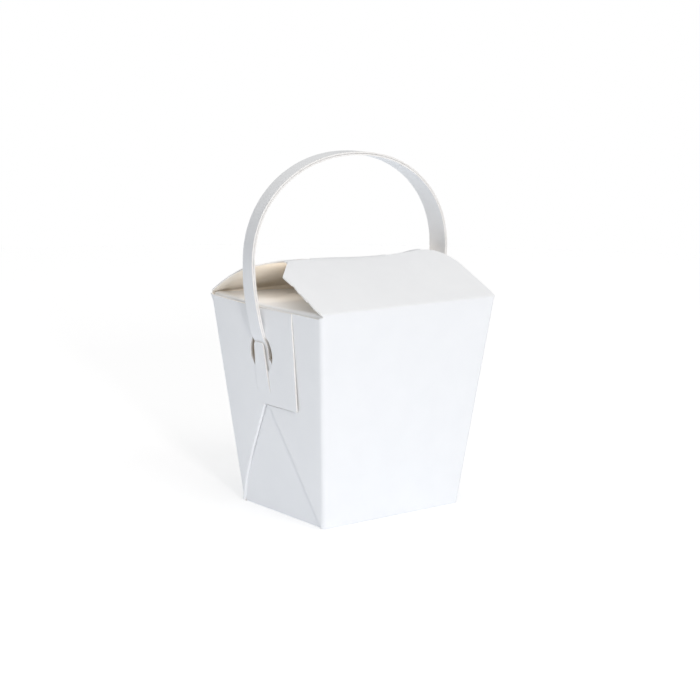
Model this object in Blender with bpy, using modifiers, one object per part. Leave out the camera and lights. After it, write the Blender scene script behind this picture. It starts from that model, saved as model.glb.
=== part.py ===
"""Noodle takeaway box with a paper handle: a carton folded from one blank, and a looped strip.

Metres, +Z up. The origin is the middle of the base panel's underside. The wall whose lid laps over
the other faces -Y, and the handle hangs in a slot in each end wall, at -X and +X.
"""

import math

import bmesh
import bpy
from mathutils import Matrix, Vector

# The board and the tapered body, over its outside faces
BOARD = 0.0006
WALL_HEIGHT = 0.0884
TOP_LENGTH, TOP_DEPTH = 0.0900, 0.0762
BASE_LENGTH, BASE_DEPTH = 0.0708, 0.0560
CORNER_RADIUS, FOLD_STOP = 0.0012, 0.0009
END_BEND = 0.0015

# The two lids, measured along the front lid's slope from its crease, and the points of its locking
# tab's section, measured from its tip
LID_ANGLE = math.radians(25)
LID_REACH = 0.0384
LID_SHOULDER = 0.0280
SHOULDER_HALF = 0.0453
TIP_HALF = 0.0354
SHOULDER_RADIUS, TIP_RADIUS = 0.0035, 0.0020
CREASE_RADIUS, CREASE_LIFT = 0.0010, 0.0004
REAR_SLOPE, REAR_BOW = 0.64, 5.5
REAR_TUCK, REAR_STEPS = 0.0035, 8
RIDGE_BEND = 0.0018
TAB_HALF = 0.0177
TAB_POINTS = (
    (-0.0012, -0.0008),
    (0.0000, 0.0000),
    (0.0022, -0.0001),
    (0.0042, -0.0024),
    (0.0036, -0.0026),
    (0.0018, -0.0009),
)

# The webs folded over each end wall: u runs to the rear, v up the wall, both from its foot's middle
WEB_RISE = 0.0008
WEB_RAMP = 0.0140
WEB_SUNK = 0.0018
WEB_TOP = 0.0872
WEB_FOOT = 0.0004
WEB_FREE_TOP, WEB_FREE_FOOT = (-0.0186, WEB_TOP), (-0.0172, 0.0469)
WEB_STEP = (0.0045, 0.0461)
WEB_BOW, WEB_STEPS = 0.0016, 6
WEB_HEEL = 0.0269
RECESS_DEPTH = 0.0006
RECESS_TOP = (0.0020, 0.0475)
RECESS_HEELS, RECESS_FOOT = (-0.0271, 0.0273), -0.0005
RECESS_UNDER = 0.0012

# The slot that holds each end of the handle, and the tongue left standing in it
SLOT_U, SLOT_V = 0.0038, 0.0670
SLOT_HALF_WIDTH = 0.00795
SLOT_UP, SLOT_UP_POWER = 0.0092, 2.5
SLOT_DOWN, SLOT_DOWN_POWER = 0.0070, 1.8
SLOT_DEPTH = 0.0034
TONGUE_TOP, TONGUE_FOOT = 0.0718, 0.0560
TONGUE_TOP_HALF, TONGUE_FOOT_HALF = 0.0030, 0.0042
TONGUE_RADIUS = 0.0012
TONGUE_SET_BACK = 0.0001

# The end flaps under the lids, with an open sliver along each slanting side
FLAP_ROOT_HALF, FLAP_TIP_HALF = 0.0358, 0.0290
FLAP_ROOT_SET = 0.0040
FLAP_GAP = 0.0008
FLAP_SLIT_DEPTH = 0.0012
LID_ROOT_ROOM = 0.0018

# The handle: a strip of two plies, its arch a superellipse on two splayed legs
STRIP_WIDTH = 0.0087
STRIP_THICKNESS = 0.0014
GAP = 0.0003
ARCH_HALF = 0.0493
ARCH_SPRING = 0.1043
ARCH_RISE = 0.0415
ARCH_POWER = 2.1
ARCH_STEPS = 40
LEG_STEPS = 8
SPLAY = math.radians(11)
ANCHOR_FOOT, ANCHOR_FOOT_HALF = 0.0612, 0.0030
ANCHOR_SHOULDER, ANCHOR_SHOULDER_HALF = 0.0646, 0.0060
ANCHOR_NECK = 0.0676

# How far a cutter runs on past what it cuts, and past the end flaps, under the lids
OVERRUN = 0.0040
FLOOR_CLEAR = 0.0003

WALL_RISE = math.hypot(WALL_HEIGHT, (TOP_LENGTH - BASE_LENGTH) / 2)
LID_RISE = LID_REACH * math.sin(LID_ANGLE)
LID_TIP_Y = LID_REACH * math.cos(LID_ANGLE) - TOP_DEPTH / 2


def clear_scene():
    for obj in list(bpy.data.objects):
        bpy.data.objects.remove(obj, do_unlink=True)


def new_collection(name, hidden=False):
    collection = bpy.data.collections.new(name)
    bpy.context.scene.collection.children.link(collection)
    collection.hide_render = hidden
    return collection


def board_material(name, colour, roughness):
    material = bpy.data.materials.new(name)
    material.use_nodes = True
    shader = material.node_tree.nodes["Principled BSDF"]
    shader.inputs["Base Color"].default_value = (*colour, 1.0)
    shader.inputs["Roughness"].default_value = roughness
    shader.inputs["Metallic"].default_value = 0.0
    return material


def add_object(name, mesh, collection):
    """Writes a bmesh to a new object in the collection."""
    data = bpy.data.meshes.new(name)
    bmesh.ops.recalc_face_normals(mesh, faces=mesh.faces)
    mesh.to_mesh(data)
    mesh.free()
    obj = bpy.data.objects.new(name, data)
    collection.objects.link(obj)
    return obj


def add_prism(mesh, outline, low, high, place, lean=(0.0, 0.0)):
    """A closed prism over a flat outline, from height low to high in the frame of place."""
    foot = [mesh.verts.new(place @ Vector((a, b, low))) for a, b in outline]
    face = mesh.faces.new(foot)
    raised = bmesh.ops.extrude_face_region(mesh, geom=[face])["geom"]
    lift = place.to_3x3() @ Vector((*lean, high - low))
    bmesh.ops.translate(mesh, vec=lift, verts=[v for v in raised if isinstance(v, bmesh.types.BMVert)])


def prism_object(name, outline, low, high, place, collection):
    mesh = bmesh.new()
    add_prism(mesh, outline, low, high, place)
    return add_object(name, mesh, collection)


def rounded(before, corner, after, radius, steps=4):
    """The points of an arc of this radius that replaces a polygon's corner."""
    corner = Vector(corner)
    back = (Vector(before) - corner).normalized()
    ahead = (Vector(after) - corner).normalized()
    half_angle = back.angle(ahead) / 2
    centre = corner + (back + ahead).normalized() * radius / math.sin(half_angle)
    start = corner + back * radius / math.tan(half_angle) - centre
    end = corner + ahead * radius / math.tan(half_angle) - centre
    sweep = start.angle(end)
    points = []
    for step in range(steps + 1):
        share = step / steps
        arm = start * math.sin((1 - share) * sweep) + end * math.sin(share * sweep)
        points.append(tuple(centre + arm / math.sin(sweep)))
    return points


def boolean(obj, other, operation):
    """Joins or cuts obj with another object, which becomes a hidden helper."""
    other.hide_render = True
    other.display_type = "WIRE"
    modifier = obj.modifiers.new(other.name, "BOOLEAN")
    modifier.operation = operation
    modifier.object = other
    modifier.solver = "EXACT"


def rear_lid_height(y):
    """The height of the rear lid's outside face, which bows between its crease and the ridge."""
    run = TOP_DEPTH / 2 - y
    return WALL_HEIGHT + REAR_SLOPE * run - REAR_BOW * run * run


def front_lid_height(y):
    return WALL_HEIGHT + (y + TOP_DEPTH / 2) * math.tan(LID_ANGLE)


def carton_section():
    """The carton's outline across its depth: walls, creases, the two lids and the lap at the ridge."""
    front_foot, rear_foot = (-BASE_DEPTH / 2, 0.0), (BASE_DEPTH / 2, 0.0)
    front_crease, rear_crease = (-TOP_DEPTH / 2, WALL_HEIGHT), (TOP_DEPTH / 2, WALL_HEIGHT)
    tip = (LID_TIP_Y, WALL_HEIGHT + LID_RISE)
    tip_under = (tip[0] + BOARD * math.sin(LID_ANGLE), tip[1] - BOARD * math.cos(LID_ANGLE))
    ridge_y = LID_TIP_Y + REAR_TUCK + RIDGE_BEND
    run_length = TOP_DEPTH / 2 - CREASE_RADIUS - ridge_y
    rear_run = [ridge_y + run_length * step / REAR_STEPS for step in range(REAR_STEPS)]
    rear_lid = [(y, rear_lid_height(y)) for y in rear_run]
    outline = [front_foot]
    outline += rounded(front_foot, front_crease, tip, CREASE_RADIUS)
    outline += [tip, tip_under]
    outline += rear_lid
    outline += rounded(rear_lid[-1], rear_crease, rear_foot, CREASE_RADIUS)
    outline.append(rear_foot)
    return outline


def gable_section():
    """The open space between the lids and the end flaps, one board inside the lids' outside faces."""
    slope_board = BOARD / math.cos(LID_ANGLE)
    lap_y = LID_TIP_Y - REAR_TUCK
    front_root = -TOP_DEPTH / 2 + slope_board / math.tan(LID_ANGLE)
    rear_root = TOP_DEPTH / 2 - slope_board / REAR_SLOPE
    rear_start = LID_TIP_Y + REAR_TUCK
    rear_run = [rear_start + (rear_root - rear_start) * step / REAR_STEPS for step in range(REAR_STEPS)]
    roof = [(lap_y, front_lid_height(lap_y) - slope_board)]
    roof.append((lap_y + BOARD, front_lid_height(lap_y) - 2 * slope_board))
    roof += [(y, rear_lid_height(y) - slope_board) for y in rear_run]
    return [(front_root, WALL_HEIGHT)] + roof + [(rear_root, WALL_HEIGHT)]


def envelope_outline():
    """The carton's outline from the front: tapered walls, flared lids and their rounded corners."""
    shoulder_z = WALL_HEIGHT + LID_SHOULDER * math.sin(LID_ANGLE)
    tip_z = WALL_HEIGHT + LID_RISE
    foot, top = Vector((BASE_LENGTH / 2, 0.0)), Vector((TOP_LENGTH / 2, WALL_HEIGHT))
    crease = tuple(foot.lerp(top, 1 + CREASE_LIFT / WALL_HEIGHT))
    shoulder, tip = (SHOULDER_HALF, shoulder_z), (TIP_HALF, tip_z)
    above = (TIP_HALF - OVERRUN / 4, tip_z + OVERRUN)
    half = [tuple(foot), crease]
    half += rounded(crease, shoulder, tip, SHOULDER_RADIUS, steps=6)
    half += rounded(shoulder, tip, above, TIP_RADIUS)
    half.append(above)
    return half + [(-x, z) for x, z in reversed(half)]


def end_frame(side):
    """The frame of an end wall's outside face: x to the rear, y up the slope, z outwards."""
    lean = (TOP_LENGTH - BASE_LENGTH) / 2 / WALL_RISE
    upright = WALL_HEIGHT / WALL_RISE
    frame = Matrix.Identity(4)
    frame.col[0] = (0.0, 1.0, 0.0, 0.0)
    frame.col[1] = (side * lean, 0.0, upright, 0.0)
    frame.col[2] = (side * upright, 0.0, -lean, 0.0)
    frame.col[3] = (side * BASE_LENGTH / 2, 0.0, 0.0, 1.0)
    return frame


def rear_edge(v):
    """The rear corner's u at height v on an end wall."""
    return BASE_DEPTH / 2 + (TOP_DEPTH - BASE_DEPTH) / 2 * v / WALL_RISE


def web_rise(u, v):
    """How far the rear web stands off the wall: nothing at the corner fold, then its full rise."""
    return WEB_RISE * min(1.0, max(0.0, (rear_edge(v) - u) / WEB_RAMP))


def web_diagonal(steps):
    """The rear web's folded edge, which bows a little on its way from the step down to the heel."""
    start, end = Vector(WEB_STEP), Vector((WEB_HEEL, WEB_FOOT))
    across = Vector((end.y - start.y, start.x - end.x)).normalized()
    points = []
    for step in range(steps + 1):
        share = step / steps
        points.append(start.lerp(end, share) - across * WEB_BOW * math.sin(math.pi * share))
    return points


def add_web(mesh, side):
    """The rear web: sunk into the wall, its outside face ramping up from the corner and then flat."""
    place = end_frame(side)
    diagonal = web_diagonal(WEB_STEPS)
    turn = next(i for i, p in enumerate(diagonal) if rear_edge(p.y) - p.x < WEB_RAMP)
    low, high = diagonal[turn], diagonal[turn - 1]
    gap_low, gap_high = rear_edge(low.y) - low.x, rear_edge(high.y) - high.x
    meet = high.lerp(low, (gap_high - WEB_RAMP) / (gap_high - gap_low))
    ramp_top = (rear_edge(WEB_TOP) - WEB_RAMP, WEB_TOP)
    flat = [WEB_FREE_TOP, WEB_FREE_FOOT] + [tuple(p) for p in diagonal[:turn]] + [tuple(meet), ramp_top]
    ramp = [ramp_top, tuple(meet)] + [tuple(p) for p in diagonal[turn:]]
    ramp += [(rear_edge(WEB_FOOT), WEB_FOOT), (rear_edge(WEB_TOP), WEB_TOP)]
    seen = {}
    for outline in (flat, ramp):
        for point in outline:
            if point not in seen:
                seen[point] = mesh.verts.new(place @ Vector((*point, -WEB_SUNK)))
    faces = [mesh.faces.new([seen[point] for point in outline]) for outline in (flat, ramp)]
    raised = bmesh.ops.extrude_face_region(mesh, geom=faces)["geom"]
    outwards = place.col[2].to_3d()
    back = place.inverted()
    for vert in raised:
        if isinstance(vert, bmesh.types.BMVert):
            local = back @ vert.co
            vert.co += outwards * (WEB_SUNK + web_rise(local.x, local.y))


def recess_outline():
    """The sunk foot of the end wall between the two webs' folded edges, and a little under the rear one."""
    under = [tuple(p + Vector((RECESS_UNDER, 0.0))) for p in web_diagonal(WEB_STEPS)[1:-1]]
    front_heel, rear_heel = RECESS_HEELS
    return [(front_heel, RECESS_FOOT), RECESS_TOP] + under + [(rear_heel, RECESS_FOOT)]


def slot_rim(across, up):
    """The height of the slot's upper or lower rim at this distance from its upright middle line."""
    reach, power = (SLOT_UP, SLOT_UP_POWER) if up else (-SLOT_DOWN, SLOT_DOWN_POWER)
    return SLOT_V + reach * (1 - (across / SLOT_HALF_WIDTH) ** power) ** (1 / power)


def slot_outline(steps=28):
    """The oval opening, squarer above than below, in the end wall's frame."""
    points = []
    for step in range(steps):
        angle = 2 * math.pi * step / steps
        across = SLOT_HALF_WIDTH * math.cos(angle)
        points.append((SLOT_U + across, slot_rim(abs(across), math.sin(angle) > 0)))
    return points


def tongue_outline():
    foot_left, foot_right = (-TONGUE_FOOT_HALF, TONGUE_FOOT), (TONGUE_FOOT_HALF, TONGUE_FOOT)
    top_left, top_right = (-TONGUE_TOP_HALF, TONGUE_TOP), (TONGUE_TOP_HALF, TONGUE_TOP)
    outline = [foot_left, foot_right]
    outline += rounded(foot_right, top_right, top_left, TONGUE_RADIUS)
    outline += rounded(top_right, top_left, foot_left, TONGUE_RADIUS)
    return [(SLOT_U + u, v) for u, v in outline]


def flap_slits():
    """The slivers left open beside the tapered end flaps, joined by the line where the flaps meet."""
    root_x, middle = TOP_LENGTH / 2 - FLAP_ROOT_SET, FLAP_GAP / 2
    lid_y = TOP_DEPTH / 2 - LID_ROOT_ROOM
    quarter = [(root_x, lid_y), (root_x, FLAP_ROOT_HALF), (middle, FLAP_TIP_HALF)]
    front_half = [(x, -y) for x, y in reversed(quarter)]
    right_half = quarter + front_half
    return right_half + [(-x, y) for x, y in reversed(right_half)]


def outside_arc(before, corner, after, radius):
    """What rounding a corner to this radius takes off: the arc, run on a little past both its ends."""
    arc = [Vector(point) for point in rounded(before, corner, after, radius)]
    return [2 * arc[0] - arc[1]] + arc[1:-1] + [2 * arc[-1] - arc[-2]]


def end_bend_outlines():
    """What the soft bend from each end wall into its end flap takes off, seen from the front."""
    foot, corner = (BASE_LENGTH / 2, 0.0), (TOP_LENGTH / 2, WALL_HEIGHT)
    arc = outside_arc(foot, corner, (0.0, WALL_HEIGHT), END_BEND)
    clear_x, clear_z = TOP_LENGTH / 2 + OVERRUN, WALL_HEIGHT + FLOOR_CLEAR
    right = arc + [(arc[-1].x, clear_z), (clear_x, clear_z), (clear_x, arc[0].y)]
    return [right, [(-x, z) for x, z in right]]


def add_fold_cutter(mesh, side_x, side_y):
    """What rounding an upright fold takes off, from below the base up to just under the lids."""
    taper_x = (TOP_LENGTH - BASE_LENGTH) / 2 / WALL_HEIGHT
    taper_y = (TOP_DEPTH - BASE_DEPTH) / 2 / WALL_HEIGHT
    low, high = -OVERRUN, WALL_HEIGHT - FOLD_STOP
    half_x, half_y = BASE_LENGTH / 2 + taper_x * low, BASE_DEPTH / 2 + taper_y * low
    arc = outside_arc((half_x, 0.0), (half_x, half_y), (0.0, half_y), CORNER_RADIUS)
    clear_x, clear_y = half_x + OVERRUN, half_y + OVERRUN
    outline = arc + [(arc[-1].x, clear_y), (clear_x, clear_y), (clear_x, arc[0].y)]
    outline = [(side_x * x, side_y * y) for x, y in outline]
    lean = (side_x * taper_x * (high - low), side_y * taper_y * (high - low))
    add_prism(mesh, outline, low, high, Matrix.Identity(4), lean)


def tab_section():
    """The front lid's locking tab, bent over the ridge and down through the rear lid."""
    return [(LID_TIP_Y + y, WALL_HEIGHT + LID_RISE + z) for y, z in TAB_POINTS]


def build_carton(collection, helpers):
    across = Matrix(((0, 0, 1, 0), (1, 0, 0, 0), (0, 1, 0, 0), (0, 0, 0, 1)))
    facing = Matrix(((1, 0, 0, 0), (0, 0, -1, 0), (0, 1, 0, 0), (0, 0, 0, 1)))
    half = TOP_LENGTH / 2 + OVERRUN
    carton = prism_object("carton", carton_section(), -half, half, across, collection)
    envelope = prism_object("carton_envelope", envelope_outline(), -half, half, facing, helpers)
    far = half + OVERRUN
    gable = prism_object("gable_space", gable_section(), -far, far, across, helpers)
    boolean(carton, envelope, "INTERSECT")
    boolean(carton, gable, "DIFFERENCE")

    names = ("folds", "end_bends", "recesses", "webs", "slots", "tongues", "flap_slits")
    cutters = {name: bmesh.new() for name in names}
    for outline in end_bend_outlines():
        add_prism(cutters["end_bends"], outline, -FLAP_ROOT_HALF, FLAP_ROOT_HALF, facing)
    for side_x in (-1, 1):
        for side_y in (-1, 1):
            add_fold_cutter(cutters["folds"], side_x, side_y)
    face = WEB_RISE - TONGUE_SET_BACK
    for side in (-1, 1):
        place = end_frame(side)
        add_prism(cutters["recesses"], recess_outline(), -RECESS_DEPTH, OVERRUN, place)
        add_web(cutters["webs"], side)
        add_prism(cutters["slots"], slot_outline(), WEB_RISE - SLOT_DEPTH, OVERRUN, place)
        add_prism(cutters["tongues"], tongue_outline(), face - BOARD, face, place)
    slit_foot, slit_top = WALL_HEIGHT - FLAP_SLIT_DEPTH, WALL_HEIGHT + FLOOR_CLEAR
    add_prism(cutters["flap_slits"], flap_slits(), slit_foot, slit_top, Matrix.Identity(4))
    for name in names:
        operation = "UNION" if name in ("webs", "tongues") else "DIFFERENCE"
        boolean(carton, add_object(name, cutters[name], helpers), operation)
    tab = prism_object("lock_tab", tab_section(), -TAB_HALF, TAB_HALF, across, helpers)
    boolean(carton, tab, "UNION")
    return carton


def wall_point(v, off):
    """A point on the +X end's middle line, v up the wall and off its outside face, as (x, z)."""
    point = end_frame(1) @ Vector((0.0, v, off))
    return point.x, point.z


def leg_path():
    """The right half of the strip's middle line from its foot to the arch's spring, with each half width."""
    inside = WEB_RISE - TONGUE_SET_BACK - BOARD - GAP - STRIP_THICKNESS / 2
    outside = WEB_RISE + GAP + STRIP_THICKNESS / 2
    half = STRIP_WIDTH / 2
    rim = slot_rim(half, up=True)
    through = (TONGUE_TOP + rim + BOARD + TONGUE_SET_BACK) / 2 - WEB_RISE
    path = [(*wall_point(ANCHOR_FOOT, inside), ANCHOR_FOOT_HALF)]
    path.append((*wall_point(ANCHOR_SHOULDER, inside), ANCHOR_SHOULDER_HALF))
    path.append((*wall_point(ANCHOR_NECK, inside), half))
    path.append((*wall_point(through + inside, inside), half))
    path.append((*wall_point(through + outside, outside), half))
    foot_x, foot_z = path[-1][:2]
    bow = (ARCH_HALF - foot_x) / (ARCH_SPRING - foot_z) ** 2
    for step in range(1, LEG_STEPS):
        z = foot_z + (ARCH_SPRING - foot_z) * step / LEG_STEPS
        path.append((ARCH_HALF - bow * (ARCH_SPRING - z) ** 2, z, half))
    return path


def arch_path():
    """The superellipse from the right spring over the top to the left one."""
    path = []
    for step in range(ARCH_STEPS + 1):
        angle = math.pi * step / ARCH_STEPS
        reach = math.copysign(abs(math.cos(angle)) ** (2 / ARCH_POWER), math.cos(angle))
        rise = abs(math.sin(angle)) ** (2 / ARCH_POWER)
        path.append((ARCH_HALF * reach, ARCH_SPRING + ARCH_RISE * rise, STRIP_WIDTH / 2))
    return path


def build_handle(collection):
    """The strip's middle surface, splayed towards the front above the slots, then given its thickness."""
    leg = leg_path()
    path = leg + arch_path() + [(-x, z, half) for x, z, half in reversed(leg)]
    foot_z = leg[4][1]
    mesh = bmesh.new()
    rows = []
    for x, z, half in path:
        rising = min(1.0, max(0.0, (z - foot_z) / (ARCH_SPRING - foot_z)))
        turn = math.sin(SPLAY) * rising * x / ARCH_HALF
        front = mesh.verts.new((x + half * turn, SLOT_U - half, z))
        rear = mesh.verts.new((x - half * turn, SLOT_U + half, z))
        rows.append((front, rear))
    for (front, rear), (next_front, next_rear) in zip(rows, rows[1:]):
        mesh.faces.new((front, next_front, next_rear, rear))
    handle = add_object("handle", mesh, collection)
    solidify = handle.modifiers.new("two plies", "SOLIDIFY")
    solidify.thickness = STRIP_THICKNESS
    solidify.offset = 0.0
    solidify.use_even_offset = True
    return handle


def build():
    clear_scene()
    model = new_collection("noodle_takeaway_box")
    helpers = new_collection("cutters", hidden=True)
    carton = build_carton(model, helpers)
    carton.data.materials.append(board_material("coated white board", (0.86, 0.87, 0.89), 0.5))
    handle = build_handle(model)
    handle.data.materials.append(board_material("white strip board", (0.84, 0.85, 0.87), 0.5))


build()
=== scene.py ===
import math

import bmesh
import bpy
from mathutils import Matrix, Vector


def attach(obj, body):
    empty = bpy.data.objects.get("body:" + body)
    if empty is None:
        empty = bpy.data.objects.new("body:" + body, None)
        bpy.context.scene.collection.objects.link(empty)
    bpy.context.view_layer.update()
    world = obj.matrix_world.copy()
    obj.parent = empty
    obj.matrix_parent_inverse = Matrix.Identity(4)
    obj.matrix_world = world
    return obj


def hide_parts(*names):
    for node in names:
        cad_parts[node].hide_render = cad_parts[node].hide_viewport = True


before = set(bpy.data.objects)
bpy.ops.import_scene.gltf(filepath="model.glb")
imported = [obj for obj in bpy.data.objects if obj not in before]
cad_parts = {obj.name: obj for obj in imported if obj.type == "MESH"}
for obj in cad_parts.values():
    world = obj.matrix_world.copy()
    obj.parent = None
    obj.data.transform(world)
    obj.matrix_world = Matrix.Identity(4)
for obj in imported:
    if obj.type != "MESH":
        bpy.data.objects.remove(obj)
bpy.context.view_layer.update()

# --- White carton board ------------------------------------------------------------------------
# Bleached board about 0.6 mm thick, clay coated and calendered on the outside, bare and a little
# warm on the inside, with a fibrous cream edge wherever the cutting rule went through it.

BOARD = 0.0006


class Wire:
    """One socket of a node tree. Sums of wires and numbers add Math nodes."""

    def __init__(self, tree, socket=None):
        self.tree, self.socket = tree, socket

    def node(self, kind, settings=None, sockets=None, out=0):
        """Any other node: its settings first, then the values or links of its sockets."""
        node = self.tree.nodes.new(kind)
        settings = dict(settings or {})
        stops = settings.pop("stops", None)
        for name, value in settings.items():
            setattr(node, name, value)
        if stops:
            ramp = node.color_ramp.elements
            while len(ramp) < len(stops):
                ramp.new(0.5)
            for element, (place, colour) in zip(ramp, stops):
                element.position, element.color = place, colour
        for name, value in (sockets or {}).items():
            if isinstance(value, Wire):
                self.tree.links.new(value.socket, node.inputs[name])
            else:
                node.inputs[name].default_value = value
        return Wire(self.tree, node.outputs[out])

    def other(self, out):
        """Another output of the node this wire comes from."""
        return Wire(self.tree, self.socket.node.outputs[out])

    def maths(self, operation, *values):
        return self.node("ShaderNodeMath", {"operation": operation}, dict(enumerate(values)))

    def vectors(self, operation, *values, out=0):
        return self.node("ShaderNodeVectorMath", {"operation": operation}, dict(enumerate(values)), out)

    def __add__(self, other):
        return self.maths("ADD", self, other)

    def __sub__(self, other):
        return self.maths("SUBTRACT", self, other)

    def __rsub__(self, other):
        return self.maths("SUBTRACT", other, self)

    def __mul__(self, other):
        return self.maths("MULTIPLY", self, other)

    def __truediv__(self, other):
        return self.maths("DIVIDE", self, other)

    __radd__ = __add__
    __rmul__ = __mul__


def board_material(name, light, dark, roughness, cloud, grain, grain_height, streak=(1, 1, 1)):
    """Board stock: clouds of fibre in its colour, a finer grain in its relief and its gloss."""
    material = bpy.data.materials.new(name)
    material.use_nodes = True
    shader = material.node_tree.nodes["Principled BSDF"]
    wire = Wire(material.node_tree)
    here = wire.node("ShaderNodeTexCoord", out=3)
    drawn = here.vectors("MULTIPLY", here, streak)
    clouds = wire.node("ShaderNodeTexNoise", {}, {"Vector": here, "Scale": cloud, "Detail": 3.0})
    fibres = wire.node(
        "ShaderNodeTexNoise", {}, {"Vector": drawn, "Scale": grain, "Detail": 4.0, "Roughness": 0.65}
    )
    fleck = wire.node("ShaderNodeTexVoronoi", {}, {"Vector": drawn, "Scale": grain * 0.35})
    mixed = clouds * 0.6 + fibres * 0.4
    share = mixed.node("ShaderNodeMapRange", {}, {0: mixed, 1: 0.36, 2: 0.64})
    colour = wire.node("ShaderNodeMix", {"data_type": "RGBA"}, {0: share, 6: (*dark, 1), 7: (*light, 1)}, 2)
    bump = wire.node(
        "ShaderNodeBump", {}, {"Height": fibres + fleck * 0.3, "Distance": grain_height, "Strength": 1.0}
    )
    links = material.node_tree.links
    links.new(colour.socket, shader.inputs["Base Color"])
    links.new((roughness + (fibres - 0.5) * 0.25).socket, shader.inputs["Roughness"])
    links.new(bump.socket, shader.inputs["Normal"])
    shader.inputs["IOR"].default_value = 1.47
    return material


coated = board_material(
    "coated_board", (0.885, 0.895, 0.905), (0.865, 0.875, 0.887), 0.46, 90, 2600, 0.00001
)
bare = board_material("bare_board", (0.94, 0.895, 0.82), (0.91, 0.85, 0.75), 0.75, 160, 3200, 0.00002)
raw_edge = board_material(
    "raw_edge", (0.93, 0.915, 0.895), (0.86, 0.835, 0.80), 0.85, 500, 4200, 0.00004, (1, 1, 0.25)
)

# --- Front and rear boards ---------------------------------------------------------------------
# The carton is one die-cut blank. Its front half runs from the base up the front wall into the
# front lid, and at both sides a web folds round the corner over the end wall. The rear half is
# alike, its webs lie over the front ones, and its lid runs under the front lid at the ridge.

WALL_TOP = 0.0884
TOP_HALF_X, TOP_HALF_Y = 0.0450, 0.0381
BASE_HALF_X, BASE_HALF_Y = 0.0354, 0.0280
WALL_RISE = math.hypot(WALL_TOP, TOP_HALF_X - BASE_HALF_X)
CORNER = 0.0018
FOOT_FOLD, CREASE = 0.0008, 0.0010
LID_ANGLE = math.radians(25)
LID_REACH = 0.0384
REAR_SLOPE, REAR_BOW = 0.64, 5.5
RIDGE = [(0.0020, 0.1043), (0.0002, 0.10455), (-0.0014, 0.1044), (-0.0033, 0.10375), (-0.0068, 0.1021)]
PANEL_DROP = 0.0008
WEB_TOP = 0.0870
WEB_RISE, WEB_RAMP = 0.0008, 0.0140
WALL_BELLY, RIDGE_SAG, REAR_TUCK = 0.0005, 0.0011, 0.0007


def half_x(z):
    return BASE_HALF_X + (TOP_HALF_X - BASE_HALF_X) * min(max(z / WALL_TOP, 0), 1)


def half_y(z):
    return BASE_HALF_Y + (TOP_HALF_Y - BASE_HALF_Y) * min(max(z / WALL_TOP, 0), 1)


def arc(before, corner, after, radius, steps=5):
    """The points of an arc of this radius that replaces a corner between two points."""
    corner = Vector(corner)
    back = (Vector(before) - corner).normalized()
    ahead = (Vector(after) - corner).normalized()
    half_angle = back.angle(ahead) / 2
    centre = corner + (back + ahead).normalized() * radius / math.sin(half_angle)
    start = corner + back * radius / math.tan(half_angle) - centre
    end = corner + ahead * radius / math.tan(half_angle) - centre
    sweep = start.angle(end)
    points = []
    for step in range(steps + 1):
        share = step / steps
        arm = start * math.sin((1 - share) * sweep) + end * math.sin(share * sweep)
        points.append(centre + arm / math.sin(sweep))
    return points


class Run:
    """A board's section across its folds: points outwards and up, and how far along each lies."""

    def __init__(self, points):
        self.points = [Vector(point) for point in points]
        steps = [b - a for a, b in zip(self.points, self.points[1:])]
        self.stations = [0.0]
        for step in steps:
            self.stations.append(self.stations[-1] + step.length)
        ways = [step.normalized() for step in steps]
        ways = [ways[0]] + [(a + b).normalized() for a, b in zip(ways, ways[1:])] + [ways[-1]]
        self.normals = [Vector((way.y, -way.x)) for way in ways]

    def at(self, along):
        """The outside face's point and normal this far along the board."""
        i = 0
        while i < len(self.points) - 2 and along > self.stations[i + 1]:
            i += 1
        share = (along - self.stations[i]) / (self.stations[i + 1] - self.stations[i])
        normal = self.normals[i].lerp(self.normals[i + 1], min(max(share, 0), 1)).normalized()
        return self.points[i].lerp(self.points[i + 1], share), normal

    def find(self, axis, value, last=False):
        """How far along the board one coordinate takes this value, first or last."""
        found = []
        for i, (a, b) in enumerate(zip(self.points, self.points[1:])):
            if min(a[axis], b[axis]) <= value <= max(a[axis], b[axis]) and a[axis] != b[axis]:
                share = (value - a[axis]) / (b[axis] - a[axis])
                found.append(self.stations[i] + share * (self.stations[i + 1] - self.stations[i]))
        return found[-1 if last else 0]


def evenly(start, end, most):
    """Stations from start to end, both included, no further apart than most."""
    count = max(1, math.ceil(abs(end - start) / most))
    return [start + (end - start) * i / count for i in range(count + 1)]


def slab(name, columns, rows, thickness):
    """A closed flat board on a grid of columns and rows, its outside face up."""
    mesh = bmesh.new()
    tops = [[mesh.verts.new((x, y, 0)) for x in columns] for y in rows]
    foot = [[mesh.verts.new((x, y, -thickness)) for x in columns] for y in rows]
    for r in range(len(rows) - 1):
        for c in range(len(columns) - 1):
            mesh.faces.new((tops[r][c], tops[r][c + 1], tops[r + 1][c + 1], tops[r + 1][c]))
            mesh.faces.new((foot[r][c], foot[r + 1][c], foot[r + 1][c + 1], foot[r][c + 1]))
    rims = [
        ([row[0] for row in tops], [row[0] for row in foot]),
        ([row[-1] for row in tops][::-1], [row[-1] for row in foot][::-1]),
        (tops[0][::-1], foot[0][::-1]),
        (tops[-1], foot[-1]),
    ]
    for top, low in rims:
        for i in range(len(top) - 1):
            mesh.faces.new((top[i], top[i + 1], low[i + 1], low[i]))
    return new_object(name, mesh)


def new_object(name, mesh):
    data = bpy.data.meshes.new(name)
    mesh.to_mesh(data)
    mesh.free()
    obj = bpy.data.objects.new(name, data)
    bpy.context.scene.collection.objects.link(obj)
    return obj


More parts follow.
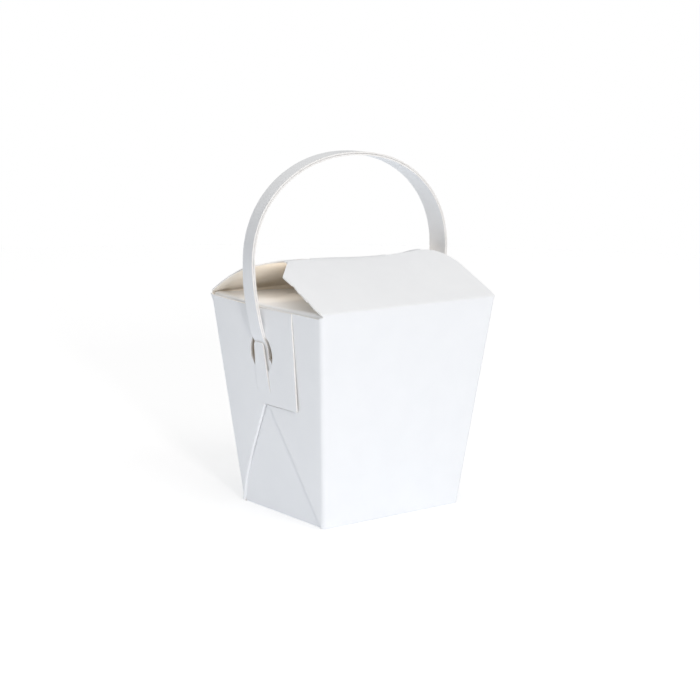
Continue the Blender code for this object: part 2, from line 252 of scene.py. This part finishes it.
def prism(outline, reach=0.003):
    """A cutting die: a closed prism over a flat outline, through the board and past both faces."""
    mesh = bmesh.new()
    face = mesh.faces.new([mesh.verts.new((x, y, -reach)) for x, y in outline])
    raised = bmesh.ops.extrude_face_region(mesh, geom=[face])["geom"]
    verts = [item for item in raised if isinstance(item, bmesh.types.BMVert)]
    bmesh.ops.translate(mesh, vec=(0, 0, 2 * reach), verts=verts)
    bmesh.ops.recalc_face_normals(mesh, faces=mesh.faces)
    return new_object("die", mesh)


def stamp(obj, die, operation="INTERSECT"):
    """Cuts obj with the die, which is used up."""
    modifier = obj.modifiers.new("die", "BOOLEAN")
    modifier.operation, modifier.object, modifier.solver = operation, die, "EXACT"
    finish_modifiers(obj)
    bpy.data.objects.remove(die)


def finish_modifiers(obj):
    """Turns what the modifiers make into the object's own plain mesh."""
    graph = bpy.context.evaluated_depsgraph_get()
    data = bpy.data.meshes.new_from_object(obj.evaluated_get(graph))
    obj.modifiers.clear()
    obj.data = data


def fold(obj, place, flip=False):
    """Gives a flat board its three finishes, and then folds it: place takes a flat point to its own."""
    obj.data.materials.clear()
    for material in (coated, bare, raw_edge):
        obj.data.materials.append(material)
    for face in obj.data.polygons:
        face.material_index = 0 if face.normal.z > 0.7 else 1 if face.normal.z < -0.7 else 2
    for vert in obj.data.vertices:
        vert.co = place(*vert.co)
    mesh = bmesh.new()
    mesh.from_mesh(obj.data)
    bmesh.ops.remove_doubles(mesh, verts=mesh.verts, dist=0.000002)
    if flip:
        bmesh.ops.reverse_faces(mesh, faces=mesh.faces)
    mesh.to_mesh(obj.data)
    mesh.free()
    obj.data.shade_smooth()
    obj.data.set_sharp_from_angle(angle=math.radians(32))


def belongs(obj, slot, *nodes):
    """The piece rides on the box's one body and hides the imported parts it stands for. Its slot is not used.
    """
    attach(obj, "root")
    if nodes:
        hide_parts(*nodes)


FLAT_HALF = TOP_HALF_X - CORNER
QUARTER = CORNER * math.pi / 2
END_LEAN = Vector((WALL_TOP, 0, BASE_HALF_X - TOP_HALF_X)).normalized()


def wall_bow(x, z):
    """The long walls belly out by a hair between their folds."""
    across = math.cos(math.pi / 2 * min(abs(x) / FLAT_HALF, 1))
    return WALL_BELLY * across * math.sin(math.pi * min(max(z / WALL_TOP, 0), 1))


def web_rise(u, z):
    """How far the rear web stands off the end wall, from nothing at its corner fold and its top."""
    return WEB_RISE * min(1, max(0, (half_y(z) - u) / WEB_RAMP), (WALL_TOP - z) / 0.0050)


def lid_sag(x, z):
    """The ridge hangs a little between the lids' ends, most to the right of its middle."""
    across = math.cos(math.pi / 2 * min(abs(x - 0.009) / 0.033, 1))
    return RIDGE_SAG * across * across * min(1, max(0, (z - WALL_TOP) / 0.0160))


def board_place(run, side, over, tuck=0.0):
    """Folds a flat board. Its web stands off by over, and its lid is tucked down at the ridge."""

    def place(across, along, out):
        (reach, z), normal = run.at(along)
        inner = half_x(z) - CORNER
        wall = Vector((0, normal.x, normal.y))
        turn = abs(across) - FLAT_HALF
        sideways = math.copysign(1, across)
        if turn <= 0 or along > crease_start(run):
            x = across * inner / FLAT_HALF
            bow = wall_bow(x, z) if along < crease_start(run) else 0
            point = Vector((x, reach, z)) + wall * (out + bow)
            under_front = max(0, min(1, (x + 0.0240) / 0.0040, (0.0345 - x) / 0.0040))
            point.z -= lid_sag(x, z) + tuck * under_front * max(0, (z - 0.0980) / 0.0066)
        elif turn < QUARTER:
            angle = turn / CORNER
            facing = wall * math.cos(angle) + END_LEAN * math.sin(angle)
            point = Vector((inner + CORNER * math.sin(angle), reach - CORNER * (1 - math.cos(angle)), z))
            point += facing.normalized() * out
            point.x *= sideways
        else:
            q = reach - CORNER - (turn - QUARTER)
            point = Vector((half_x(z), q, z)) + END_LEAN * (out + over(q, z))
            point.x *= sideways
        return Vector((point.x, side * point.y, point.z))

    return place


def crease_start(run):
    return run.find(1, WALL_TOP - 0.0009)


def flat_web(run, side, u, v, sideways=1):
    """Where a point of the end wall, u to the rear and v up its slope, lies on the flat board."""
    z = v * WALL_TOP / WALL_RISE
    turn = half_y(z) - CORNER + QUARTER - side * u
    return sideways * (FLAT_HALF + turn), run.find(1, z)


SLOT_U, SLOT_V = 0.0038, 0.0670
SLOT_MIDDLE, SLOT_HALF = 0.0033, 0.00745
SLOT_UP, SLOT_DOWN = 0.0092, 0.0070


def lens(grow=0.0, steps=36):
    """The slot's outline on the end wall, squarer above than below."""
    half, up, down = SLOT_HALF + grow, SLOT_UP + grow, SLOT_DOWN + grow
    points = []
    for step in range(steps):
        angle = 2 * math.pi * step / steps
        c, s = math.cos(angle), math.sin(angle)
        power, reach = (2.2, up) if s > 0 else (1.8, down)
        rise = reach * (1 - abs(c) ** power) ** (1 / power)
        points.append((SLOT_MIDDLE + half * c, SLOT_V + math.copysign(rise, s)))
    return points


front_tip = (TOP_HALF_Y - LID_REACH * math.cos(LID_ANGLE), WALL_TOP + LID_REACH * math.sin(LID_ANGLE))
foot, crease = (BASE_HALF_Y, 0), (TOP_HALF_Y, WALL_TOP)
tab_bend = [(front_tip[0] - y, front_tip[1] + z) for y, z in ((0.0012, 0.0001), (0.0024, -0.0004))]
tab_bend += [(front_tip[0] - y, front_tip[1] + z) for y, z in ((0.0034, -0.0013), (0.0048, -0.0030))]
front_run = Run(
    [(-BASE_HALF_Y + FOOT_FOLD, 0)]
    + arc((0, 0), foot, crease, FOOT_FOLD)
    + arc(foot, crease, front_tip, CREASE)
    + [front_tip]
    + tab_bend
)


def lid_along(run, reach):
    """How far along the flat board a point this far up the front lid's slope from its crease lies."""
    if reach > 0.002:
        return run.find(0, TOP_HALF_Y - reach * math.cos(LID_ANGLE), last=True)
    return run.find(1, WALL_TOP)


def mirrored(points):
    return [(-x, y) for x, y in reversed(points)]


BASE_BUTT = 0.0339
TAB_LEFT, TAB_RIGHT = -0.0238, 0.0150


def front_outline():
    base = BASE_BUTT * FLAT_HALF / (BASE_HALF_X - CORNER)
    low = front_run.find(1, 0.00015)
    half = [(base, 0), (base, low), (FLAT_HALF + QUARTER, low)]
    web = [(-0.0262, 0.0012), (0.0010, 0.0449), (0.0150, 0.0500)]
    web += [(0.0150, WEB_TOP), (-0.0180, WEB_TOP), (-0.0360, WEB_TOP)]
    half += [flat_web(front_run, -1, u, v) for u, v in web]
    half += [(FLAT_HALF + 0.0008, front_run.find(1, WEB_TOP + 0.0004))]
    half += [(FLAT_HALF + 0.0011, front_run.find(1, WALL_TOP - 0.0003))]
    right = [(0.0446, 0.0015), (0.0451, 0.0050), (0.0453, 0.0240), (0.0452, 0.0275), (0.0443, 0.0310)]
    right += [(0.0424, 0.0345), (0.0398, 0.0371), (0.0373, 0.0380), (0.0354, 0.03838)]
    left = [(0.0446, 0.0015), (0.0450, 0.0050), (0.0444, 0.0100), (0.0448, 0.0104), (0.0443, 0.0158)]
    left += [(0.0446, 0.0163), (0.0438, 0.0216), (0.0442, 0.0221), (0.0447, 0.0276), (0.0444, 0.0284)]
    left += [(0.0356, 0.03815), (0.0350, 0.03838)]
    tab = lid_along(front_run, LID_REACH)
    tip = front_run.stations[-1]
    outline = half + [(x, lid_along(front_run, s)) for x, s in right]
    outline += [(TAB_RIGHT, tab), (TAB_RIGHT - 0.0010, tip), (TAB_LEFT + 0.0010, tip), (TAB_LEFT, tab)]
    outline += mirrored([(x, lid_along(front_run, s)) for x, s in left])
    return outline + mirrored(half)


def columns():
    wing = evenly(FLAT_HALF + QUARTER, FLAT_HALF + QUARTER + 0.075, 0.003)
    turn = evenly(FLAT_HALF, FLAT_HALF + QUARTER, QUARTER / 5)
    right = turn[:-1] + wing
    return [-x for x in reversed(right)] + evenly(-FLAT_HALF, FLAT_HALF, 0.003)[1:-1] + right


def rows(run):
    stations = []
    for start, end in zip(run.stations, run.stations[1:]):
        stations += evenly(start, end, 0.003)[:-1]
    return stations + [run.stations[-1]]


front_board = slab("front_board", columns(), rows(front_run), BOARD)
stamp(front_board, prism(front_outline()))
for sideways in (-1, 1):
    hole = [flat_web(front_run, -1, u, v, sideways) for u, v in lens(0.0004)]
    stamp(front_board, prism(hole), "DIFFERENCE")
    # The web lies open along the foot of its step, which shows as a fine dark line.
    score = [(0.0050, 0.0470), (0.0056, 0.0461), (-0.0163, 0.04645), (-0.0163, 0.0472)]
    score = [flat_web(front_run, -1, u, v, sideways) for u, v in score]
    stamp(front_board, prism(score), "DIFFERENCE")
fold(front_board, board_place(front_run, -1, lambda q, z: 0))
belongs(front_board, "carton_board", "carton")

# The rear half: its lid bows up from the crease and flattens where it runs under the ridge, and
# each web ends on the end wall in a folded slant below and a plain cut tab above.

TONGUE_TOP, TONGUE_FOOT = 0.0727, 0.0523
TONGUE_TOP_HALF, TONGUE_FOOT_HALF = 0.0030, 0.0043
TONGUE_LIFT = 0.0008
SLIT = 0.00025


def rear_lid_point(run):
    return TOP_HALF_Y - run, WALL_TOP + REAR_SLOPE * run - REAR_BOW * run * run


rear_reach = TOP_HALF_Y - RIDGE[0][0]
rear_lid = [rear_lid_point(rear_reach * (0.08 + 0.92 * i / 14)) for i in range(14)] + RIDGE
rear_run = Run(
    [(BASE_HALF_Y - FOOT_FOLD, 0)]
    + arc((0, 0), foot, crease, FOOT_FOLD)
    + arc(foot, crease, rear_lid[0], CREASE)
    + rear_lid
)


def tongue_half(v):
    """Half the tongue's width at this height, narrower towards its round top."""
    share = (v - TONGUE_FOOT) / (TONGUE_TOP - TONGUE_FOOT)
    return TONGUE_FOOT_HALF + (TONGUE_TOP_HALF - TONGUE_FOOT_HALF) * share


def tongue_outline():
    right = [(tongue_half(TONGUE_FOOT), TONGUE_FOOT)]
    corner, side = (TONGUE_TOP_HALF, TONGUE_TOP), (TONGUE_FOOT_HALF, TONGUE_FOOT)
    right += [tuple(point) for point in arc(side, corner, (0, TONGUE_TOP), 0.0016)]
    return [(SLOT_U + u, v) for u, v in right] + [(SLOT_U - u, v) for u, v in reversed(right)]


def rear_over(q, z):
    """The rear web stands off the end wall; its tongue and its free lower corner stand out more."""
    v = z * WALL_RISE / WALL_TOP
    lift = 0.0004 * min(1, max(0, (SLOT_U - q) / 0.021)) * min(1, max(0, (0.0720 - v) / 0.0250))
    if TONGUE_FOOT < v and abs(q - SLOT_U) < tongue_half(v) + 0.00004:
        lift += TONGUE_LIFT * math.sqrt(min(1, (v - TONGUE_FOOT) / (TONGUE_TOP - TONGUE_FOOT)))
    return web_rise(q, z) + lift


REAR_DIAGONAL = ((0.0278, 0.0006), (0.0245, 0.0107), (0.0201, 0.0195), (0.0147, 0.0295), (0.0050, 0.0468))


def rear_outline():
    base = BASE_BUTT * FLAT_HALF / (BASE_HALF_X - CORNER)
    low = rear_run.find(1, 0.00015)
    half = [(base, 0), (base, low), (FLAT_HALF + QUARTER, low)]
    half += [flat_web(rear_run, 1, u, v) for u, v in REAR_DIAGONAL]
    half += [flat_web(rear_run, 1, u, v) for u, v in ((-0.0181, 0.0471), (-0.0190, 0.0868), (0.0000, 0.0866))]
    half += [flat_web(rear_run, 1, 0.0360, 0.0878)]
    half += [(FLAT_HALF + 0.0006, rear_run.find(1, WALL_TOP - 0.0006))]
    half += [(FLAT_HALF + 0.0008, rear_run.find(1, WALL_TOP - 0.0003))]
    side = [(0.0450, WALL_TOP + 0.0010), (0.0453, 0.1002), (0.0450, 0.1010), (0.0362, 0.1041)]
    half += [(x, rear_run.find(1, z)) for x, z in side]
    half += [(0.0352, rear_run.find(0, -0.0020)), (0.0352, rear_run.stations[-1])]
    return half + mirrored(half)


rear_board = slab("rear_board", columns(), rows(rear_run), BOARD)
stamp(rear_board, prism(rear_outline()))
for sideways in (-1, 1):
    hole = prism([flat_web(rear_run, 1, u, v, sideways) for u, v in lens()])
    kept = prism([flat_web(rear_run, 1, u, v, sideways) for u, v in tongue_outline()], 0.004)
    stamp(hole, kept, "DIFFERENCE")
    stamp(rear_board, hole, "DIFFERENCE")
    for edge in (-1, 1):
        slit = []
        for v, aside in ((TONGUE_FOOT, 0), (0.0640, 0), (0.0640, SLIT), (TONGUE_FOOT, SLIT)):
            slit.append(flat_web(rear_run, 1, SLOT_U + edge * (tongue_half(v) + aside), v, sideways))
        stamp(rear_board, prism(slit), "DIFFERENCE")
mouth = [(TAB_LEFT - 0.0060, 0.0008), (TAB_RIGHT + 0.0008, 0.0008)]
mouth += [(TAB_RIGHT + 0.0008, -0.0010), (TAB_LEFT - 0.0050, -0.0006)]
stamp(rear_board, prism([(x, rear_run.find(0, y)) for x, y in mouth]), "DIFFERENCE")
fold(rear_board, board_place(rear_run, 1, rear_over, tuck=REAR_TUCK), flip=True)
belongs(rear_board, "carton_board", "carton")

# --- End boards --------------------------------------------------------------------------------
# Each end wall lies innermost, under both webs, and shows only in the low triangle between their
# slants. Its top bends softly over into a tapered flap that closes the box below the lids.

END_BEND = 0.0018
BEND_SAG, FLAP_DROP = 0.0009, 0.0007
FLAP_ROOT_HALF, FLAP_TIP_HALF = 0.0358, 0.0290
end_crease = (TOP_HALF_X - PANEL_DROP, WALL_TOP)
end_foot = (BASE_HALF_X - PANEL_DROP, 0)
end_run = Run(
    [(BASE_BUTT, 0)]
    + arc((0, 0), end_foot, end_crease, FOOT_FOLD)
    + arc(end_foot, end_crease, (0, WALL_TOP), END_BEND, steps=8)
    + [(0.0004, WALL_TOP)]
)


def end_place(sideways):
    def place(across, along, out):
        (reach, z), normal = end_run.at(along)
        sag = math.cos(math.pi / 2 * min(1, abs(across) / TOP_HALF_Y))
        over = min(1, max(0, (along - end_run.find(0, end_crease[0] - 0.0016, last=True) + 0.0045) / 0.0045))
        inwards = min(1, max(0, 1 - reach / end_crease[0]))
        z -= (BEND_SAG * sag * over + FLAP_DROP * inwards) if z > WALL_TOP / 2 else 0
        return Vector((sideways * (reach + normal.x * out), across, z + normal.y * out))

    return place


def end_outline():
    top = end_run.find(1, WALL_TOP - 0.0002)
    flap_root = end_run.find(0, end_crease[0] - 0.0035, last=True)
    right = [(BASE_HALF_Y - 0.0010, 0), (half_y(0) - 0.0008, end_run.find(1, 0.0010))]
    right += [(half_y(0.0860) - 0.0008, end_run.find(1, 0.0860)), (TOP_HALF_Y - 0.0013, top)]
    right += [(FLAP_ROOT_HALF, flap_root), (FLAP_TIP_HALF, end_run.stations[-1])]
    return right + mirrored(right)


for sideways, name in ((-1, "left_end_board"), (1, "right_end_board")):
    end_board = slab(name, evenly(-TOP_HALF_Y, TOP_HALF_Y, 0.003), rows(end_run), BOARD)
    stamp(end_board, prism(end_outline()))
    hole = [(u, end_run.find(1, v * WALL_TOP / WALL_RISE)) for u, v in lens(0.0020)]
    stamp(end_board, prism(hole), "DIFFERENCE")
    fold(end_board, end_place(sideways), flip=sideways > 0)
    belongs(end_board, "carton_board", "carton")

# --- Folded slants -----------------------------------------------------------------------------
# Along each web's slant the board is folded back on itself, so the edge is a full round bead of
# doubled board, not a cut. One tree of nodes rolls a bead along the slant's own line.


def geometry_tree(name, inputs):
    """An empty tree of geometry nodes with named inputs: its start and its end, as wires."""
    tree = bpy.data.node_groups.new(name, "GeometryNodeTree")
    tree.interface.new_socket("Geometry", in_out="OUTPUT", socket_type="NodeSocketGeometry")
    for label, kind in inputs.items():
        tree.interface.new_socket(label, in_out="INPUT", socket_type=kind)
    start, end = tree.nodes.new("NodeGroupInput"), tree.nodes.new("NodeGroupOutput")
    return tree, {label: Wire(tree, start.outputs[label]) for label in inputs}, end


def grow(obj, tree, values):
    """Runs a tree on obj with these values of its inputs, and keeps the plain mesh it makes."""
    modifier = obj.modifiers.new(tree.name, "NODES")
    modifier.node_group = tree
    for item in tree.interface.items_tree:
        if item.in_out == "INPUT" and item.name in values:
            modifier[item.identifier] = values[item.name]
    finish_modifiers(obj)
    return obj


def line_object(name, points, **vectors):
    """A bare line of points and edges, with a named vector at each point."""
    data = bpy.data.meshes.new(name)
    data.from_pydata([tuple(p) for p in points], [(i, i + 1) for i in range(len(points) - 1)], [])
    for label, values in vectors.items():
        layer = data.attributes.new(label, "FLOAT_VECTOR", "POINT")
        for item, value in zip(layer.data, values):
            item.vector = value
    obj = bpy.data.objects.new(name, data)
    bpy.context.scene.collection.objects.link(obj)
    return obj


bead_inputs = {"Line": "NodeSocketGeometry", "Board": "NodeSocketMaterial"}
bead_inputs.update({"Radius": "NodeSocketFloat", "Step": "NodeSocketFloat"})
bead_tree, bead, bead_end = geometry_tree("folded_edge", bead_inputs)
bead_line = bead["Line"].node("GeometryNodeMeshToCurve", {}, {"Mesh": bead["Line"]})
bead_line = bead_line.node(
    "GeometryNodeResampleCurve", {"mode": "LENGTH"}, {"Curve": bead_line, "Length": bead["Step"]}
)
bead_ring = bead_line.node(
    "GeometryNodeCurvePrimitiveCircle", {"mode": "RADIUS"}, {"Resolution": 16, "Radius": bead["Radius"]}
)
bead_roll = bead_line.node(
    "GeometryNodeCurveToMesh", {}, {"Curve": bead_line, "Profile Curve": bead_ring, "Fill Caps": True}
)
bead_roll = bead_roll.node("GeometryNodeSetShadeSmooth", {}, {"Geometry": bead_roll})
bead_roll = bead_roll.node("GeometryNodeRealizeInstances", {}, {"Geometry": bead_roll})
bead_roll = bead_roll.node("GeometryNodeSetMaterial", {}, {"Geometry": bead_roll, "Material": bead["Board"]})
bead_tree.links.new(bead_roll.socket, bead_end.inputs["Geometry"])


def end_point(sideways, u, v, out):
    """A point off an end wall's outside face, u to the rear and v up its slope."""
    z = v * WALL_TOP / WALL_RISE
    point = Vector((half_x(z), u, z)) + END_LEAN * out
    return Vector((sideways * point.x, point.y, point.z))


FRONT_BEAD, REAR_BEAD = 0.00042, 0.00072
front_slant = [(-0.0264 + 0.0282 * i / 12, 0.0009 + 0.0453 * i / 12) for i in range(13)]
for sideways, end in ((-1, "left"), (1, "right")):
    path = [end_point(sideways, u, v, -FRONT_BEAD) for u, v in front_slant]
    piece = line_object(end + "_front_slant", path)
    grow(piece, bead_tree, {"Radius": FRONT_BEAD, "Step": 0.002, "Board": coated})
    belongs(piece, "carton_board", "carton")
    path = []
    for (u0, v0), (u1, v1) in zip(REAR_DIAGONAL, REAR_DIAGONAL[1:]):
        path += [(u0 + (u1 - u0) * i / 4, v0 + (v1 - v0) * i / 4) for i in range(4)]
    path.append(REAR_DIAGONAL[-1])
    path = [end_point(sideways, u, v, web_rise(u, v * WALL_TOP / WALL_RISE) - REAR_BEAD) for u, v in path]
    piece = line_object(end + "_rear_slant", path)
    grow(piece, bead_tree, {"Radius": REAR_BEAD, "Step": 0.002, "Board": coated})
    belongs(piece, "carton_board", "carton")

# --- Handle ------------------------------------------------------------------------------------
# A strip of two plies glued face to face, bent to an arch. Each end goes in through the slot above
# the tongue, passes behind it, and hooks there by the wider shoulders of its anchor.

PLY, PLY_GAP = 0.00064, 0.00012
STRIP_HALF = 0.00435
ARCH_HALF, ARCH_SPRING, ARCH_RISE, ARCH_POWER = 0.0493, 0.1043, 0.0415, 2.1
SPLAY = math.radians(11)
STRIP_INSIDE, STRIP_OUTSIDE = -0.0005, 0.0018
FOOT_TAPER, TAPER_FROM, TAPER_RUN = 0.00055, 0.0950, 0.0130
FRAY = 0.06


def handle_line():
    """The strip's middle line from its right foot over to its left one, with its half widths."""
    hook = [(0.0590, 0.0030), (0.0612, 0.0054), (0.0632, 0.0063), (0.0650, 0.0060), (0.0658, 0.0043)]
    leg = [(v, STRIP_INSIDE, half) for v, half in hook] + [(0.0700, STRIP_INSIDE, STRIP_HALF)]
    leg += [(0.0716, -0.0002, STRIP_HALF), (0.0728, 0.0003, STRIP_HALF), (0.0742, 0.0009, STRIP_HALF)]
    leg += [(0.0756, 0.0015, STRIP_HALF), (0.0772, STRIP_OUTSIDE, STRIP_HALF)]
    rows = []
    for v, out, half in leg:
        point = end_point(1, SLOT_U, v, out)
        rows.append((point.x, point.z, half))
    foot_x, foot_z = rows[-1][:2]
    bow = (ARCH_HALF - foot_x) / (ARCH_SPRING - foot_z) ** 2
    for step in range(1, 10):
        z = foot_z + (ARCH_SPRING - foot_z) * step / 10
        rows.append((ARCH_HALF - bow * (ARCH_SPRING - z) ** 2, z, STRIP_HALF))
    arch = []
    for step in range(65):
        angle = math.pi * step / 64
        reach = math.copysign(abs(math.cos(angle)) ** (2 / ARCH_POWER), math.cos(angle))
        rise = abs(math.sin(angle)) ** (2 / ARCH_POWER)
        arch.append((ARCH_HALF * reach, ARCH_SPRING + ARCH_RISE * rise, STRIP_HALF))
    rows += arch + [(-x, z, half) for x, z, half in reversed(rows)]
    points, widths = [], []
    for x, z, half in rows:
        narrow = FOOT_TAPER * min(1, max(0, (TAPER_FROM - z) / TAPER_RUN))
        half -= narrow
        points.append(Vector((x, SLOT_U - narrow, z)))
        rising = min(1, max(0, (z - foot_z) / (ARCH_SPRING - foot_z)))
        widths.append(Vector((half * math.sin(SPLAY) * rising * x / ARCH_HALF, -half, 0)))
    return points, widths


ply_inputs = {"Line": "NodeSocketGeometry", "Thickness": "NodeSocketFloat", "Off Middle": "NodeSocketFloat"}
ply_inputs.update({"Rough Edge": "NodeSocketFloat", "Steps": "NodeSocketInt"})
ply_inputs.update({"Face": "NodeSocketMaterial", "Edge": "NodeSocketMaterial"})
ply_tree, ply, ply_end = geometry_tree("strip_ply", ply_inputs)
ply_line = ply["Line"].node("GeometryNodeMeshToCurve", {}, {"Mesh": ply["Line"]})
ply_block = ply_line.node(
    "GeometryNodeMeshCube", {}, {"Vertices X": ply["Steps"], "Vertices Y": 7, "Vertices Z": 2}
)
ply_place = ply_line.node("GeometryNodeInputPosition")
ply_length = ply_place.node("ShaderNodeSeparateXYZ", {}, {0: ply_place})
ply_along, ply_across, ply_out = ply_length + 0.5, ply_length.other(1), ply_length.other(2)
ply_width = ply_line.node(
    "GeometryNodeInputNamedAttribute", {"data_type": "FLOAT_VECTOR"}, {"Name": "width"}
)
ply_side = ply_line.node(
    "GeometryNodeSampleCurve",
    {"data_type": "FLOAT_VECTOR", "mode": "FACTOR", "use_all_curves": True},
    {"Curves": ply_line, "Value": ply_width, "Factor": ply_along},
)
ply_spot, ply_way = ply_side.other(1), ply_side.other(2)
ply_up = ply_side.vectors("NORMALIZE", ply_side.vectors("CROSS_PRODUCT", ply_way, ply_side))
# The cut frays more towards the right end, where the rule has worn.
ply_fray = ply_spot.node(
    "ShaderNodeTexNoise", {}, {"Vector": ply_spot, "Scale": 900.0, "Detail": 4.0, "Roughness": 0.7}
)
ply_east = ply_spot.node("ShaderNodeSeparateXYZ", {}, {0: ply_spot}, 0)
ply_wear = ply_east.maths("MAXIMUM", ply_east, 0) * 40 + 0.5
ply_reach = ply_across * (2 - ply["Rough Edge"] * ply_fray * ply_wear)
ply_offset = ply_side.node("ShaderNodeVectorMath", {"operation": "SCALE"}, {0: ply_side, 3: ply_reach})
ply_height = ply_out * ply["Thickness"] + ply["Off Middle"]
ply_lift = ply_up.node("ShaderNodeVectorMath", {"operation": "SCALE"}, {0: ply_up, 3: ply_height})
ply_there = ply_spot.vectors("ADD", ply_spot.vectors("ADD", ply_spot, ply_offset), ply_lift)
ply_at_edge = ply_across.maths("GREATER_THAN", ply_across.maths("ABSOLUTE", ply_across), 0.49)
ply_body = ply_block.node("GeometryNodeSetMaterial", {}, {"Geometry": ply_block, "Material": ply["Face"]})
ply_body = ply_body.node(
    "GeometryNodeSetMaterial",
    {},
    {"Geometry": ply_body, "Selection": ply_at_edge, "Material": ply["Edge"]},
)
ply_body = ply_body.node("GeometryNodeSetPosition", {}, {"Geometry": ply_body, "Position": ply_there})
ply_body = ply_body.node("GeometryNodeRealizeInstances", {}, {"Geometry": ply_body})
ply_tree.links.new(ply_body.socket, ply_end.inputs["Geometry"])

line_points, line_widths = handle_line()
for name, off in (("handle_outer_ply", 1), ("handle_inner_ply", -1)):
    strip = line_object(name, line_points, width=line_widths)
    values = {"Thickness": PLY, "Off Middle": off * (PLY + PLY_GAP) / 2, "Rough Edge": FRAY}
    grow(strip, ply_tree, {**values, "Steps": 420, "Face": coated, "Edge": raw_edge})
    strip.data.shade_smooth()
    strip.data.set_sharp_from_angle(angle=math.radians(35))
    belongs(strip, "handle_board", "handle")

# --- Studio ------------------------------------------------------------------------------------
# White paper under a large overhead softbox that fades towards the horizon. A lamp low in front,
# a little to the left, draws the folds, and a broad far one throws the soft shadow on the paper.

HIGH_SKY, WHITE = 1.08, 1.0


def paper_sheet(name, height, shade, glow):
    """A round sheet of pale paper that throws the light back, and shines a little by itself."""
    mesh = bmesh.new()
    bmesh.ops.create_circle(mesh, cap_ends=True, segments=96, radius=0.9)
    bmesh.ops.translate(mesh, vec=(0, 0, height), verts=mesh.verts)
    sheet = new_object(name, mesh)
    material = bpy.data.materials.new(name)
    material.use_nodes = True
    shader = material.node_tree.nodes["Principled BSDF"]
    shader.inputs["Base Color"].default_value = (*shade, 1)
    shader.inputs["Roughness"].default_value = 1.0
    shader.inputs["Specular IOR Level"].default_value = 0.0
    shader.inputs["Emission Color"].default_value = (1, 1, 1, 1)
    shader.inputs["Emission Strength"].default_value = glow
    sheet.data.materials.append(material)
    return sheet


# The camera sees the paper burnt out to white, while the box gets only what it throws back.
seen_paper = paper_sheet("studio_floor", 0, (0.92, 0.92, 0.92), 0.25)
seen_paper.visible_diffuse = seen_paper.visible_glossy = seen_paper.visible_shadow = False
lit_paper = paper_sheet("studio_paper", -0.0002, (0.80, 0.84, 0.90), 0.26)
lit_paper.visible_camera = False

world = bpy.data.worlds.new("studio_sky")
bpy.context.scene.world = world
world.use_nodes = True
sky = Wire(world.node_tree)
seen = sky.node("ShaderNodeLightPath")
height = sky.node("ShaderNodeSeparateXYZ", {}, {0: sky.node("ShaderNodeTexCoord")}, 2)
overhead = height.maths("MAXIMUM", height, 0) * HIGH_SKY
sky_shader = world.node_tree.nodes["Background"]
world.node_tree.links.new((overhead + seen * (WHITE - overhead)).socket, sky_shader.inputs["Strength"])
sky_shader.inputs["Color"].default_value = (1, 1, 1, 1)


def soft_lamp(name, place, aim, width, depth, watts, colour):
    """A softbox at a place, turned to an aim, that the camera doesn't see itself."""
    data = bpy.data.lights.new(name, "AREA")
    data.shape, data.size, data.size_y = "RECTANGLE", width, depth
    data.energy, data.color = watts, colour
    lamp = bpy.data.objects.new(name, data)
    lamp.location = place
    lamp.rotation_euler = (Vector(aim) - Vector(place)).to_track_quat("-Z", "Y").to_euler()
    lamp.visible_camera = False
    bpy.context.scene.collection.objects.link(lamp)


soft_lamp("front_lamp", (-0.52, -1.40, 0.42), (-0.02, -0.03, 0.06), 0.16, 0.16, 6.9, (1, 0.96, 0.94))
far_light = bpy.data.lights.new("far_lamp", "SUN")
far_light.energy, far_light.angle = 0.36, math.radians(30)
far_lamp = bpy.data.objects.new("far_lamp", far_light)
far_lamp.rotation_euler = Vector((-0.06, 0.76, -0.64)).to_track_quat("-Z", "Y").to_euler()
bpy.context.scene.collection.objects.link(far_lamp)
# Thin board lets some daylight through, which glows warm in the hollow under the lids.
for side in (-1, 1):
    above, below = (0.038 * side, 0.003, 0.0965), (0.038 * side, 0.003, 0)
    soft_lamp("flap_glow", above, below, 0.014, 0.022, 0.0004, (1, 0.97, 0.93))
    middle, crook = (0.030 * side, 0.003, 0.0968), (0.033 * side, 0.034, 0.0950)
    soft_lamp("lid_glow", middle, crook, 0.024, 0.005, 0.0011, (1, 0.86, 0.72))
soft_lamp("inside_glow", (0, 0, 0.084), (0, 0, 0), 0.05, 0.04, 0.0035, (1, 0.88, 0.75))

CAMERA_TURN, CAMERA_RISE, CAMERA_ROLL = (math.radians(d) for d in (-38.05, 10.28, 0.587))
CAMERA_AIM, CAMERA_DISTANCE = Vector((-0.001134, 0, 0.06485)), 0.7313
back = Vector((math.sin(CAMERA_TURN), -math.cos(CAMERA_TURN), 0)) * math.cos(CAMERA_RISE)
back.z = math.sin(CAMERA_RISE)
right = Vector((math.cos(CAMERA_TURN), math.sin(CAMERA_TURN), 0))
up = back.cross(right)
rolled = right * math.cos(CAMERA_ROLL) + up * math.sin(CAMERA_ROLL)
up = up * math.cos(CAMERA_ROLL) - right * math.sin(CAMERA_ROLL)
view = bpy.data.cameras.new("studio_camera")
view.sensor_width, view.lens = 36, 90.97
view.clip_start = 0.01
camera = bpy.data.objects.new("studio_camera", view)
turned = Matrix((rolled, up, back)).transposed()
camera.matrix_world = Matrix.Translation(CAMERA_AIM + back * CAMERA_DISTANCE) @ turned.to_4x4()
bpy.context.scene.collection.objects.link(camera)
bpy.context.scene.camera = camera
bpy.context.scene.view_settings.view_transform = "Standard"
